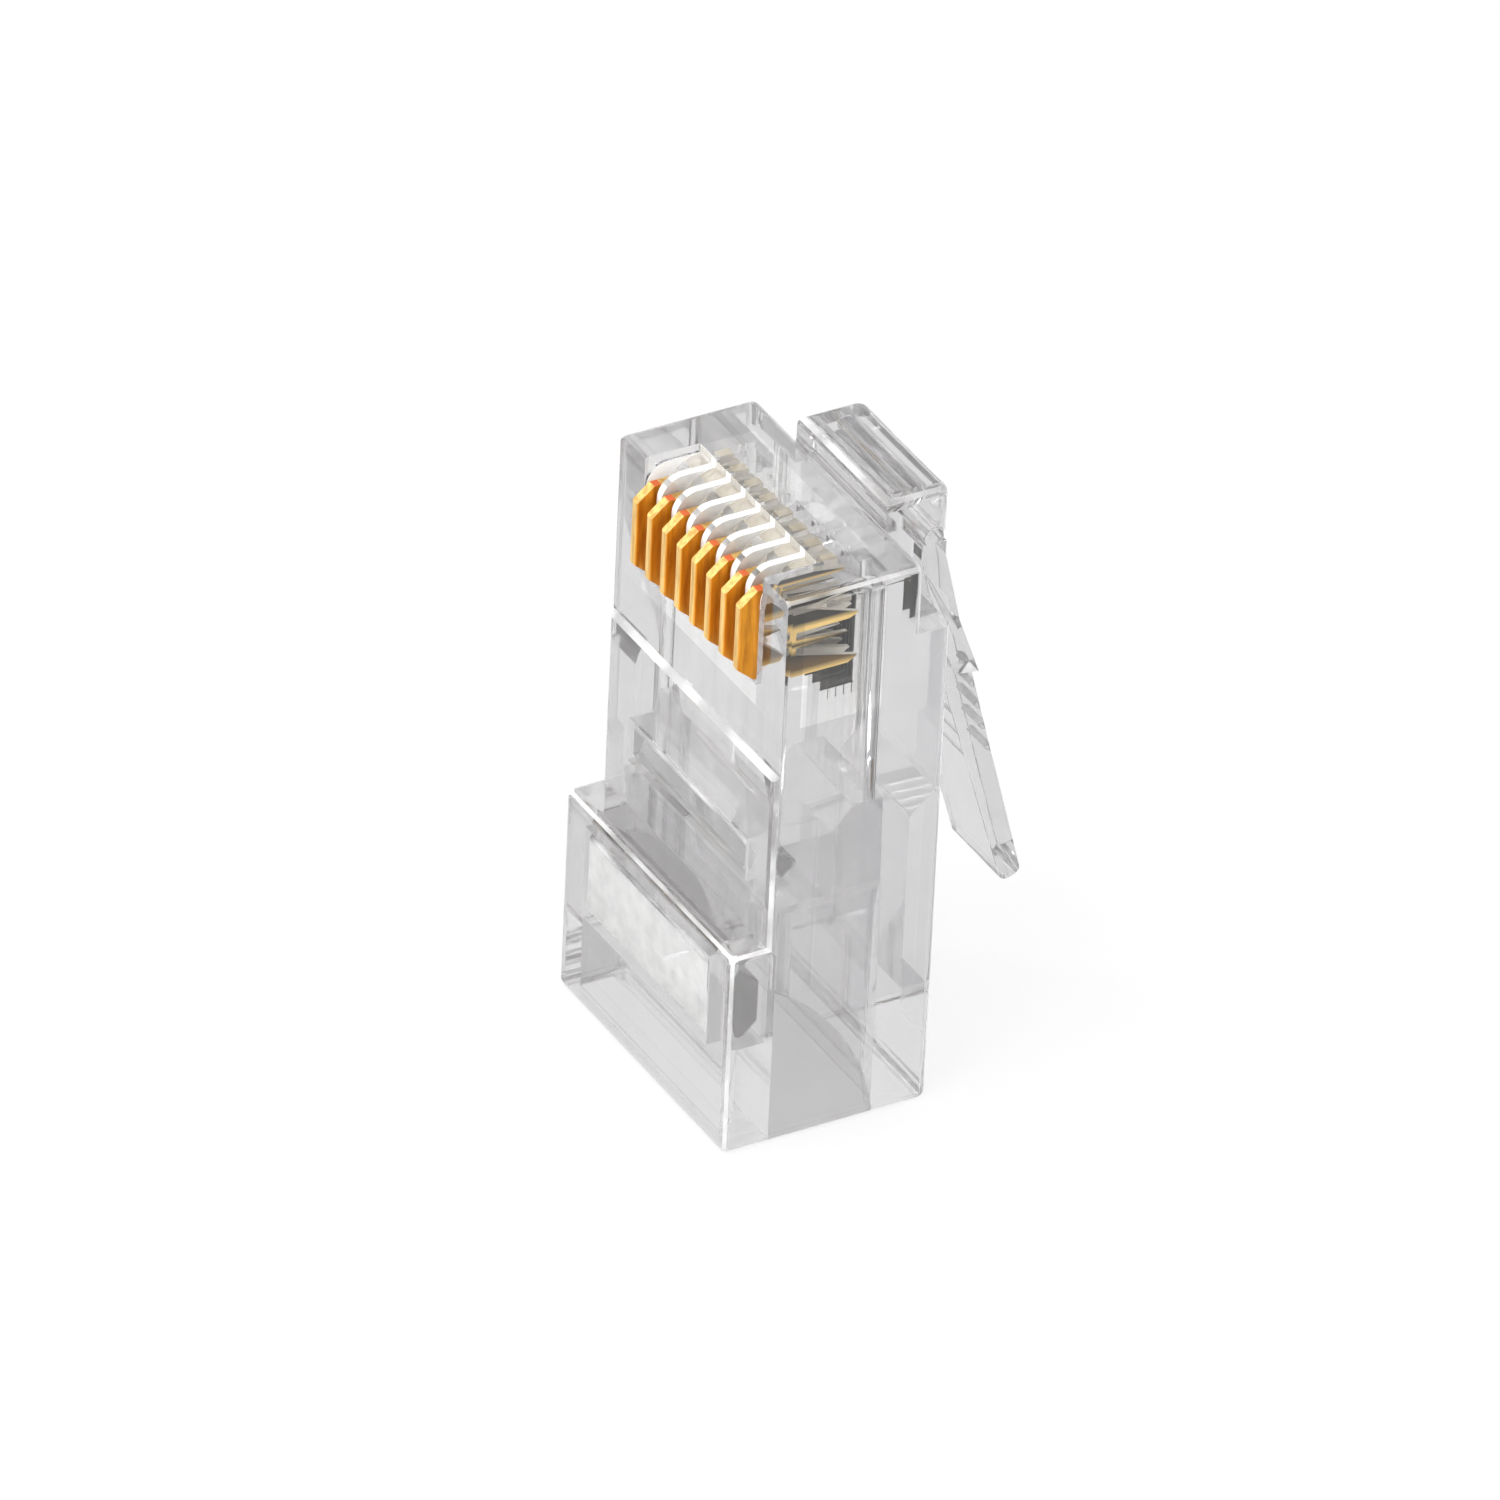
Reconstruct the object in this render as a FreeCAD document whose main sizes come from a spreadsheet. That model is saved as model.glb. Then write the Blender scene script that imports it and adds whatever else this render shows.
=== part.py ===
import FreeCAD, Part
import os
import Sketcher

# RJ45 modular plug, clear 8-way, not yet crimped to a cable.
# X runs across the contacts, +Y is the latch side, -Y the contact side, +Z points to the nose.
# The origin is the middle of the flat rear (cable) face.  All sizes are millimetres.

SIZE = {
    # outside of the housing
    "half_width": 5.84,
    "latch_face": 4.0,
    "clamp_face": 4.0,
    "body_face": 2.6,
    "comb_step": 0.18,
    "nose_back": 2.85,
    "clamp_top": 8.1,
    "nose_top": 22.05,
    "comb_tall": 7.05,
    "ear_drop": 2.7,
    "edge_round": 0.35,
    "corner_round": 0.45,
    # latch root on the nose
    "root_half": 3.06,
    "root_out": 5.42,
    "root_rise": 0.9,
    "root_sunk": 2.0,
    "hinge_y": 4.8,
    "hinge_drop": 1.05,
    "knuckle": 0.38,
    "hinge_gap": 0.03,
    # cable cavity, ramp and wire channels
    "cavity_half": 4.9,
    "cavity_low": 2.1,
    "cavity_high": 2.2,
    "cavity_top": 9.0,
    "cavity_round": 0.7,
    "ramp_half": 4.1,
    "ramp_top": 12.4,
    "channel_y": 1.62,
    "channel_r": 0.46,
    "mouth_lip": 0.07,
    "mouth_lead": 0.16,
    "scallop_half": 5.3,
    "scallop_high": 1.95,
    "scallop_top": 6.0,
    "scallop_r": 8.2,
    # latch side relief
    "relief_half": 4.7,
    "relief_floor": 3.05,
    "relief_foot": 4.5,
    "relief_top": 11.5,
    "relief_slope": 0.9,
    # windows of the two clamping bars
    "window_gap": 0.15,
    "clamp_half": 4.35,
    "clamp_low_z": 3.7,
    "anchor_half": 4.1,
    "anchor_low_z": 9.85,
    "anchor_deep": 0.7,
    # contact comb
    "pitch": 1.02,
    "comb_slope": 0.25,
    "comb_sink": 0.27,
    "comb_back": 0.35,
    "comb_round": 0.85,
    "blade_fit": 0.025,
    "slit_run": 0.8,
    "groove": 0.36,
    "groove_cut": 0.6,
    "groove_lead": 1.42,
    "groove_r": 1.5,
    # contact blade
    "blade_half": 0.175,
    "blade_proud": 0.65,
    "blade_neck": 1.65,
    "blade_root": 1.45,
    "blade_drop": 0.75,
    "blade_tall": 3.55,
    "blade_gap": 0.1,
    "blade_chamfer": 0.55,
    "blade_round": 0.07,
    "tine_foot": 0.45,
    "tine_clear": 0.2,
    "tine_cut": 0.6,
    "tine_mid": 0.55,
    # strain-relief bar
    "bar_sunk": 0.08,
    "bar_in": 2.35,
    "bar_foot": 4.05,
    "bar_pin_z": 7.0,
    "bar_pin_r": 0.3,
    "bar_slope": 0.8,
    "bar_heel": 0.55,
    "bar_gap": 0.05,
    # conductor anchor bar
    "tie_sunk": 0.1,
    "tie_in": 1.1,
    "tie_foot": 10.1,
    "tie_pin_z": 11.25,
    "tie_pin_r": 0.22,
    "tie_slope": 0.5,
    "tie_heel": 0.5,
    "tie_gap": 0.08,
    # latch lever and thumb tab
    "lever_sunk": 0.12,
    "lever_thick": 0.96,
    "bend_drop": 1.85,
    "flank_drop": 4.75,
    "flank_rise": 0.7,
    "shoulder_drop": 7.05,
    "shoulder_rise": 1.56,
    "tab_half": 1.63,
    "tab_rise": 0.29,
    "spine_drop": 3.45,
    "spine_rise": 0.25,
    "tip_out": 9.82,
    "tip_thick": 0.78,
    "tip_z": 4.85,
    "tip_round": 0.3,
    "grip_deep": 0.16,
    "grip_half": 1.3,
}

CONTACTS = 8
GRIPS = 5

# places that follow from the sizes, as sums of them
PLACE = {
    "comb_face": "body_face - comb_step",
    "comb_foot": "nose_top - comb_tall",
    "comb_top": "nose_top - comb_sink",
    "ear_floor": "nose_top - ear_drop",
    "hinge_z": "nose_top - hinge_drop",
    "root_foot": "hinge_z + 0.1",
    "root_top": "nose_top + root_rise",
    "tine_tip": "channel_y - channel_r - tine_clear",
    "mouth_low": "channel_y - channel_r - mouth_lead",
    "mouth_high": "channel_y + channel_r + mouth_lip",
    "channel_top": "blade_high - 0.4",
    "relief_lip": "relief_top + relief_slope",
    "clamp_high_z": "bar_pin_z + bar_pin_r + bar_gap",
    "anchor_high_z": "tie_pin_z + tie_pin_r + tie_gap",
    "first_x": f"{(CONTACTS - 1) / 2}*pitch",
    "comb_half": f"{CONTACTS / 2}*pitch",
    "slit": "blade_half + blade_fit",
    "slit_low": "blade_low - slit_run",
    "slit_high": "blade_high + blade_gap",
    "slit_deep": "tine_tip + 0.34",
    "groove_low": "blade_low - blade_gap",
    "groove_deep": "comb_face - groove_cut",
    "groove_front": "groove_deep - groove_lead",
    "blade_high": "nose_top - blade_drop",
    "blade_low": "blade_high - blade_tall",
    "blade_out": "comb_face + blade_proud",
    "tine_low": "blade_low + tine_foot",
    "bar_half": "clamp_half - window_gap",
    "bar_out": "clamp_face - bar_sunk",
    "bar_pin_y": "bar_out - bar_pin_r",
    "tie_half": "anchor_half - window_gap",
    "tie_out": "body_face - tie_sunk",
    "tie_pin_y": "tie_out - tie_pin_r",
    "lever_half": "root_half",
    "lever_out": "root_out - lever_sunk",
    "lever_in": "lever_out - lever_thick",
    "lever_top": "hinge_z - 0.25",
    "bend_z": "nose_top - bend_drop",
    "flank_z": "nose_top - flank_drop",
    "flank_out": "lever_out + flank_rise",
    "flank_in": "flank_out - lever_thick",
    "shoulder_z": "nose_top - shoulder_drop",
    "shoulder_out": "lever_out + shoulder_rise",
    "shoulder_in": "shoulder_out - lever_thick",
    "spine_top": "nose_top - spine_drop",
    "spine_out": "lever_out + spine_rise",
    "tab_out": "shoulder_out + tab_rise",
    "tip_in": "tip_out - tip_thick",
    "tip_top": "tip_z + 0.25",
}

doc = FreeCAD.newDocument("rj45_plug")


def fill_sheet():
    """Writes every driving size into the sheet, one named cell a row."""
    sheet = doc.addObject("Spreadsheet::Sheet", "Sizes")
    for row, (name, value) in enumerate(SIZE.items(), start=1):
        sheet.set(f"A{row}", name)
        sheet.set(f"B{row}", str(value))
        sheet.setAlias(f"B{row}", name)
    doc.recompute()


def words(terms):
    """Splits a sum such as 'nose_top - 2*blade_gap' into (factor, size or number) pairs."""
    factor = 1.0
    for word in terms.replace("-", " - ").replace("+", " + ").split():
        if word in ("+", "-"):
            factor = -1.0 if word == "-" else 1.0
            continue
        times, _, name = word.rpartition("*")
        factor *= float(times or 1)
        for inner, size in words(PLACE[name]) if name in PLACE else [(1.0, name)]:
            yield factor * inner, size
        factor = 1.0


def amount(terms):
    """Number a sum of named sizes and places stands for."""
    return sum(factor * (SIZE[name] if name in SIZE else float(name)) for factor, name in words(terms))


def formula(terms):
    """The same sum as an expression on the sheet."""
    parts = [f"{factor:+g}*" + ("Sizes." + name if name in SIZE else name) for factor, name in words(terms)]
    return "".join(parts).lstrip("+")


def new_body(name):
    """Empty body whose label is also its file name."""
    body = doc.addObject("PartDesign::Body", name)
    body.Label = name
    return body


def new_sketch(body, name, plane, level="0"):
    """Sketch on one of the body's own origin planes, lifted along the plane's normal."""
    sketch = body.newObject("Sketcher::SketchObject", name)
    home = next(item for item in body.Origin.OriginFeatures if item.Role == plane)
    sketch.AttachmentSupport = [(home, "")]
    sketch.MapMode = "FlatFace"
    if level != "0":
        sketch.AttachmentOffset.Base.z = amount(level)
        sketch.setExpression("AttachmentOffset.Base.z", formula(level))
    return sketch


def hold(sketch, kind, args, terms, name):
    """Adds one dimension and ties it to the sheet."""
    index = sketch.addConstraint(Sketcher.Constraint(kind, *args, amount(terms)))
    sketch.renameConstraint(index, name)
    sketch.setExpression("Constraints." + name, formula(terms))


def bow(start, end, radius, side):
    """Circle arc between two points; side +1 puts its centre to the left of start-end."""
    chord = end - start
    height = max(radius ** 2 - (chord.Length / 2) ** 2, 0.0) ** 0.5
    left = FreeCAD.Vector(-chord.y, chord.x, 0).normalize()
    centre = (start + end) / 2 + left * height * side
    first, last = (start, end) if side > 0 else (end, start)
    circle = Part.Circle(centre, FreeCAD.Vector(0, 0, 1), radius)
    return Part.ArcOfCircle(circle, circle.parameter(first), circle.parameter(last))


def outline(body, name, plane, corners, level="0", arcs=None):
    """Closed loop of lines and arcs with each corner dimensioned from the origin.

    arcs maps the number of an edge to (radius, side)."""
    arcs = arcs or {}
    sketch = new_sketch(body, name, plane, level)
    points = [FreeCAD.Vector(amount(u), amount(v), 0) for u, v in corners]
    count = len(points)
    ends = []
    for i, start in enumerate(points):
        end = points[(i + 1) % count]
        if i in arcs:
            radius, side = arcs[i]
            sketch.addGeometry(bow(start, end, amount(radius), side), False)
            ends.append((1, 2) if side > 0 else (2, 1))
        else:
            sketch.addGeometry(Part.LineSegment(start, end), False)
            ends.append((1, 2))
    for i in range(count):
        follower = (i + 1) % count
        sketch.addConstraint(Sketcher.Constraint("Coincident", i, ends[i][1], follower, ends[follower][0]))
    for i, (u, v) in enumerate(corners):
        hold(sketch, "DistanceX", (-1, 1, i, ends[i][0]), u, f"u{i}")
        hold(sketch, "DistanceY", (-1, 1, i, ends[i][0]), v, f"v{i}")
    for i, (radius, side) in arcs.items():
        hold(sketch, "Radius", (i,), radius, f"r{i}")
    doc.recompute()
    return sketch


def disc(body, name, plane, centre, radius, level="0"):
    """Full circle with its centre dimensioned from the origin."""
    sketch = new_sketch(body, name, plane, level)
    middle = FreeCAD.Vector(amount(centre[0]), amount(centre[1]), 0)
    sketch.addGeometry(Part.Circle(middle, FreeCAD.Vector(0, 0, 1), amount(radius)), False)
    hold(sketch, "DistanceX", (-1, 1, 0, 3), centre[0], "u")
    hold(sketch, "DistanceY", (-1, 1, 0, 3), centre[1], "v")
    hold(sketch, "Radius", (0,), radius, "r")
    doc.recompute()
    return sketch


def sweep(body, kind, name, sketch, length, both=True, backwards=False):
    """Pad or Pocket of a sketch, equally to both sides unless told otherwise."""
    before = body.Shape.Volume if body.Tip else 0.0
    feature = body.newObject("PartDesign::" + kind, name)
    feature.Profile = sketch
    feature.SideType = "Symmetric" if both else "One side"
    feature.Reversed = backwards
    feature.Length = amount(length)
    feature.setExpression("Length", formula(length))
    doc.recompute()
    grown = body.Shape.Volume - before
    if (grown > 0) != (kind == "Pad"):
        raise RuntimeError(f"{name} changed the volume by {grown:.4f}")
    return feature


def repeat(body, name, features):
    """Copies features along the row of contacts."""
    before = body.Shape.Volume
    pattern = body.newObject("PartDesign::LinearPattern", name)
    pattern.Originals = features
    axis = next(item for item in body.Origin.OriginFeatures if item.Role == "X_Axis")
    pattern.Direction = (axis, [""])
    pattern.Mode = "Spacing"
    pattern.Offset = amount("pitch")
    pattern.setExpression("Offset", "Sizes.pitch")
    pattern.Occurrences = CONTACTS
    body.Tip = pattern
    doc.recompute()
    if body.Shape.Volume >= before:
        raise RuntimeError(name + " removed nothing")
    return pattern


def box_test(**limits):
    """Edge test: every named side of the bounding box lies at the given sum of sizes."""
    wanted = {side: amount(terms) for side, terms in limits.items()}

    def test(edge):
        return all(abs(getattr(edge.BoundBox, side) - value) < 0.02 for side, value in wanted.items())
    return test


def soften(body, name, kind, size, tests):
    """Fillet or Chamfer on the edges of the tip that pass any of the tests."""
    base = body.Tip
    picked = [f"Edge{i}" for i, edge in enumerate(base.Shape.Edges, start=1)
              if any(test(edge) for test in tests)]
    if not picked:
        raise RuntimeError(name + " found no edge")
    feature = body.newObject("PartDesign::" + kind, name)
    feature.Base = (base, picked)
    prop = "Radius" if kind == "Fillet" else "Size"
    setattr(feature, prop, amount(size))
    feature.setExpression(prop, formula(size))
    doc.recompute()
    return feature


def rims(level):
    """Tests for the outer rim edges lying flat at one height."""
    return [box_test(ZMin=level, ZMax=level)]


def sides(y):
    """Tests for the upright edges at the two side faces for one Y."""
    return [box_test(XMin="half_width", XMax="half_width", YMin=y, YMax=y),
            box_test(XMin="-half_width", XMax="-half_width", YMin=y, YMax=y)]


def shell_of(body):
    """Outer block: cable end, mid-body and nose, with its soft edges."""
    corners = [("-clamp_face", "0"), ("-clamp_face", "clamp_top"), ("-body_face", "clamp_top"),
               ("-body_face", "nose_top"), ("nose_back", "nose_top"), ("nose_back", "ear_floor"),
               ("latch_face", "ear_floor"), ("latch_face", "0")]
    sweep(body, "Pad", "Block", outline(body, "BlockSide", "YZ_Plane", corners), "2*half_width")
    upright = sides("-clamp_face") + sides("-body_face") + sides("latch_face") + sides("nose_back")
    shelf = [box_test(YMin="-clamp_face", YMax="-clamp_face", ZMin="clamp_top", ZMax="clamp_top"),
             box_test(YMin="-clamp_face", YMax="-body_face", ZMin="clamp_top", ZMax="clamp_top")]
    soften(body, "SoftEdges", "Fillet", "edge_round", upright + shelf + rims("0") + rims("nose_top"))


def latch_root(body):
    """Raised block on the nose that carries the latch, with the socket of its hinge."""
    corners = [("root_sunk", "ear_floor"), ("latch_face", "ear_floor"), ("latch_face", "root_foot"),
               ("root_out", "root_foot"), ("root_out", "root_top"), ("nose_back", "root_top"),
               ("nose_back", "nose_top - edge_round"), ("root_sunk", "nose_top - edge_round")]
    sweep(body, "Pad", "RootBlock", outline(body, "RootSide", "YZ_Plane", corners), "2*root_half")
    rim = [box_test(ZMin="root_top", ZMax="root_top"),
           box_test(XMin="root_half", XMax="root_half", YMin="root_out", YMax="root_out"),
           box_test(XMin="-root_half", XMax="-root_half", YMin="root_out", YMax="root_out")]
    soften(body, "RootEdges", "Fillet", "corner_round", rim)
    socket = disc(body, "SocketRound", "YZ_Plane", ("hinge_y", "hinge_z"), "knuckle + hinge_gap")
    sweep(body, "Pocket", "HingeSocket", socket, "2*root_half + 1")


def cable_cavity(body):
    """Room for the cable jacket, the ramp that lifts the conductors and the arched side reliefs."""
    mouth = [("-cavity_half", "-cavity_low"), ("cavity_half", "-cavity_low"),
             ("cavity_half", "cavity_high"), ("-cavity_half", "cavity_high")]
    sweep(body, "Pocket", "Cavity", outline(body, "CavityEnd", "XY_Plane", mouth), "cavity_top", False, True)
    walls = []
    for x in ("cavity_half", "-cavity_half"):
        for y in ("cavity_high", "-cavity_low"):
            walls.append(box_test(XMin=x, XMax=x, YMin=y, YMax=y))
    soften(body, "CavityRound", "Fillet", "cavity_round", walls)
    ramp = [("-cavity_low", "cavity_top - 0.5"), ("cavity_high", "cavity_top - 0.5"),
            ("cavity_high", "cavity_top"), ("mouth_high", "ramp_top"), ("mouth_low", "ramp_top"),
            ("-cavity_low", "cavity_top")]
    sweep(body, "Pocket", "Ramp", outline(body, "RampSide", "YZ_Plane", ramp), "2*ramp_half")
    arch = [("-cavity_low", "-1"), ("scallop_high", "-1"), ("scallop_high", "0"),
            ("-cavity_low", "scallop_top")]
    scallop = outline(body, "ScallopSide", "YZ_Plane", arch, arcs={2: ("scallop_r", 1)})
    sweep(body, "Pocket", "Scallop", scallop, "2*scallop_half")


def wire_channels(body):
    """Eight round channels that lead the conductors under the blades."""
    first = disc(body, "ChannelEnd", "XY_Plane", ("-first_x", "channel_y"), "channel_r", "ramp_top - 0.2")
    bore = sweep(body, "Pocket", "Channel", first, "channel_top - ramp_top + 0.2", False, True)
    repeat(body, "Channels", [bore])


def latch_relief(body):
    """Shallow tray in the latch side that the pressed thumb tab sinks towards."""
    corners = [("relief_floor", "relief_foot"), ("latch_face + 1", "relief_foot"),
               ("latch_face + 1", "relief_lip"), ("latch_face", "relief_lip"),
               ("relief_floor", "relief_top")]
    sweep(body, "Pocket", "Relief", outline(body, "ReliefSide", "YZ_Plane", corners), "2*relief_half")


def windows(body):
    """The two openings the clamping bars swing in."""
    low = [("-clamp_half", "clamp_low_z"), ("clamp_half", "clamp_low_z"),
           ("clamp_half", "clamp_high_z"), ("-clamp_half", "clamp_high_z")]
    sketch = outline(body, "ClampOpening", "XZ_Plane", low, "cavity_low - 0.1")
    sweep(body, "Pocket", "ClampWindow", sketch, "clamp_face - cavity_low + 1", False, True)
    high = [("-anchor_half", "anchor_low_z"), ("anchor_half", "anchor_low_z"),
            ("anchor_half", "anchor_high_z"), ("-anchor_half", "anchor_high_z")]
    sketch = outline(body, "AnchorOpening", "XZ_Plane", high, "-anchor_deep")
    sweep(body, "Pocket", "AnchorWindow", sketch, "body_face + anchor_deep + 1", False, True)


def contact_comb(body):
    """Recessed contact field, sunk and rounded comb ridges, blade slits and the grooves between them."""
    flat = [("-body_face - 1", "comb_foot - comb_slope"), ("-body_face", "comb_foot - comb_slope"),
            ("-comb_face", "comb_foot"), ("-comb_face", "nose_top + 1"),
            ("-body_face - 1", "nose_top + 1")]
    sweep(body, "Pocket", "ContactField", outline(body, "FieldSide", "YZ_Plane", flat),
          "2*half_width + 1")
    nib = [("-comb_face - 1", "comb_top - comb_round"), ("-comb_face", "comb_top - comb_round"),
           ("comb_round - comb_face", "comb_top"), ("-comb_back", "comb_top"),
           ("-comb_back", "nose_top + 1"), ("-comb_face - 1", "nose_top + 1")]
    ridge = outline(body, "RidgeSide", "YZ_Plane", nib, arcs={1: ("comb_round", -1)})
    sweep(body, "Pocket", "RidgeRound", ridge, "2*comb_half")
    blade = [("-body_face - 1", "groove_low"), ("-blade_neck", "groove_low"), ("-blade_neck", "slit_low"),
             ("slit_deep", "slit_low"), ("slit_deep", "slit_high"), ("-body_face - 1", "slit_high")]
    slit = outline(body, "SlitSide", "YZ_Plane", blade, "-first_x")
    cut = sweep(body, "Pocket", "Slit", slit, "2*slit")
    repeat(body, "Slits", [cut])
    trough = [("-body_face - 1", "groove_low"), ("-groove_deep", "groove_low"),
              ("-groove_deep", "comb_top - groove_r"), ("-groove_front", "comb_top"),
              ("-groove_front", "comb_top + 1"), ("-body_face - 1", "comb_top + 1")]
    groove = outline(body, "GrooveSide", "YZ_Plane", trough, "-first_x", arcs={2: ("groove_r", -1)})
    cut = sweep(body, "Pocket", "Groove", groove, "2*groove")
    repeat(body, "Grooves", [cut])


def housing():
    """The one clear moulding everything else sits in."""
    body = new_body("housing")
    shell_of(body)
    latch_root(body)
    cable_cavity(body)
    latch_relief(body)
    windows(body)
    wire_channels(body)
    contact_comb(body)
    return body


def grip_notches(body, low, high):
    """Five shallow V grooves across the thumb tab's outer face, inside its side rims."""
    def along(share, proud):
        y, z = (f"{share:.3f}*{high[axis]} + {1 - share:.3f}*{low[axis]}" for axis in (0, 1))
        return f"{y} + {proud}", z

    for i in range(GRIPS):
        share = 0.52 + 0.095 * i
        corners = [along(share, "0.1"), along(share + 0.025, "-1*grip_deep"), along(share + 0.05, "0.1")]
        sweep(body, "Pocket", f"Grip{i + 1}", outline(body, f"GripSide{i + 1}", "YZ_Plane", corners),
              "2*grip_half")


def latch():
    """Sprung lever: knuckle, shouldered lever and the narrow thumb tab with its grip notches."""
    body = new_body("latch")
    lever = [("lever_in", "lever_top"), ("lever_in", "bend_z"), ("flank_in", "flank_z"),
             ("shoulder_in", "shoulder_z + 0.15"), ("shoulder_out", "shoulder_z"),
             ("flank_out", "flank_z"), ("lever_out", "bend_z"), ("lever_out", "lever_top")]
    sweep(body, "Pad", "Lever", outline(body, "LeverSide", "YZ_Plane", lever), "2*lever_half")
    knuckle = disc(body, "KnuckleRound", "YZ_Plane", ("hinge_y", "hinge_z"), "knuckle")
    sweep(body, "Pad", "Knuckle", knuckle, "2*lever_half")
    tip, heel = ("tip_out", "tip_top"), ("tab_out", "shoulder_z")
    tab = [("flank_in", "flank_z"), ("shoulder_in", "shoulder_z + 0.15"), ("tip_in", "tip_z"),
           tip, heel, ("spine_out", "spine_top"), ("flank_in", "spine_top")]
    sweep(body, "Pad", "Tab", outline(body, "TabSide", "YZ_Plane", tab), "2*tab_half")
    soften(body, "TipRound", "Fillet", "tip_round",
           [box_test(XMin="-tab_half", XMax="tab_half", YMin="tip_in", YMax="tip_in"),
            box_test(XMin="-tab_half", XMax="tab_half", YMin="tip_out", YMax="tip_out")])
    grip_notches(body, tip, heel)
    return body


def strain_relief_bar():
    """Bar that folds in on the cable jacket; its round back turns against the window."""
    body = new_body("strain_relief_bar")
    side = [("-bar_out", "bar_foot"), ("-bar_in - bar_heel", "bar_foot"), ("-bar_in", "bar_foot + bar_heel"),
            ("-bar_in", "bar_pin_z - bar_slope"), ("-bar_pin_y", "bar_pin_z + bar_pin_r"),
            ("-bar_out", "bar_pin_z")]
    sweep(body, "Pad", "Bar", outline(body, "BarSide", "YZ_Plane", side), "2*bar_half")
    return body


def anchor_bar():
    """Smaller bar that folds in on the eight conductors."""
    body = new_body("anchor_bar")
    side = [("-tie_out", "tie_foot"), ("-tie_in - tie_heel", "tie_foot"), ("-tie_in", "tie_foot + tie_heel"),
            ("-tie_in", "tie_pin_z - tie_slope"), ("-tie_pin_y", "tie_pin_z + tie_pin_r"),
            ("-tie_out", "tie_pin_z")]
    sweep(body, "Pad", "Tie", outline(body, "TieSide", "YZ_Plane", side), "2*tie_half")
    return body


def contact(number):
    """Three-tined blade, drawn on its own mid-plane and carried to its place in the row."""
    body = new_body(f"contact_{number}")
    side = [("-blade_out", "blade_low + blade_chamfer"), ("-comb_face", "blade_low"),
            ("-blade_neck", "blade_low"), ("-blade_neck", "tine_low"), ("tine_cut", "tine_low"),
            ("tine_tip", "tine_low + 0.22"), ("-blade_root", "tine_low + 0.85"),
            ("-blade_root", "tine_low + 1.15"), ("tine_mid", "tine_low + 1.27"),
            ("-blade_root", "tine_low + 1.45"), ("-blade_root", "tine_low + 1.75"),
            ("tine_cut", "tine_low + 1.78"), ("tine_tip", "tine_low + 1.95"),
            ("-blade_neck", "tine_low + 2.8"), ("-blade_neck", "blade_high"),
            ("-comb_face", "blade_high"), ("-blade_out", "blade_high - blade_chamfer")]
    sweep(body, "Pad", f"Blade{number}", outline(body, f"BladeSide{number}", "YZ_Plane", side),
          "2*blade_half")
    soften(body, f"ContactEdge{number}", "Fillet", "blade_round",
           [box_test(XMin=x, XMax=x, YMin="-blade_out", YMax="-blade_out")
            for x in ("blade_half", "-blade_half")])
    place = f"{number - 1}*pitch - first_x"
    body.Placement.Base.x = amount(place)
    body.setExpression("Placement.Base.x", formula(place))
    return body


def check_and_export(bodies):
    """Stops on any broken object, then writes one STEP file a body."""
    doc.recompute()
    for item in doc.Objects:
        if "Invalid" in item.State or "Error" in item.State:
            raise RuntimeError(item.Name + " is in state " + str(item.State))
    os.makedirs("parts", exist_ok=True)
    for body in bodies:
        shape = body.Shape
        if shape.isNull() or not shape.isValid() or len(shape.Solids) != 1:
            raise RuntimeError(body.Label + " is not one valid solid")
        shape.exportStep("parts/" + body.Label + ".step")
        print(body.Label, round(shape.Volume, 3), len(shape.Faces))


fill_sheet()
pieces = [housing(), latch(), strain_relief_bar(), anchor_bar()]
pieces += [contact(number) for number in range(1, CONTACTS + 1)]
check_and_export(pieces)
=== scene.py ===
import math

import bmesh
import bpy
import numpy as np
from mathutils import Matrix, Vector


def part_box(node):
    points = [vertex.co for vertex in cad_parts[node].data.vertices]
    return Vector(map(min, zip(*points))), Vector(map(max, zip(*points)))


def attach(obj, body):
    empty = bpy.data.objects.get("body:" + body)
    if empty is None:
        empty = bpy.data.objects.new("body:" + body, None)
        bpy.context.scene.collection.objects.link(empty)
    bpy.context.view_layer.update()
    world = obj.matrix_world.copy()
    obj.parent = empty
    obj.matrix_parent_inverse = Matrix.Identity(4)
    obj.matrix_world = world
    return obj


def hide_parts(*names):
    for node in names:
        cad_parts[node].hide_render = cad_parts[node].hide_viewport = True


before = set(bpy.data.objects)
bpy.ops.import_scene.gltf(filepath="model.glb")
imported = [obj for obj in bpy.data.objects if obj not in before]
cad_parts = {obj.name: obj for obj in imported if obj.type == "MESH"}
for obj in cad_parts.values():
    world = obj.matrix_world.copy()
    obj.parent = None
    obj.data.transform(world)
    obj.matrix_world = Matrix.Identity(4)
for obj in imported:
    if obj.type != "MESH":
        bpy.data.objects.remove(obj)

from types import SimpleNamespace

# Looks of a clear eight-way modular plug: polished plastic moulding, gold-plated blades, white studio.
# X runs along the row of blades, +Y is the latch side and +Z the nose.  Lengths are metres.

bl_info = {
    "name": "Clear modular plug",
    "version": (1, 0, 0),
    "blender": (4, 5, 0),
    "location": "View3D > Sidebar > Plug",
    "description": "Finishes a clear modular plug and sets it in a white studio",
    "category": "Object",
}

MM = 0.001
ROUND_LEAN = 30.0           # degrees from every axis past which a face counts as a rounding that takes the painted edge highlight
ROUND_AREA = 4.0 * MM ** 2  # larger slanting faces stay clear
CORE_MIDDLE = np.array((0.0, 0.1, 10.0)) * MM  # block of cavity, channels and slits, where no face takes the painted edge highlight
CORE_REACH = np.array((5.35, 2.35, 11.45)) * MM

UPRIGHT = 0.5               # sideways share of the normal past which a face counts as a side
PAINTED_SHADE_SHARE = 0.72               # share of the tint that the plastic keeps where it is greyed as painted shade
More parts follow.
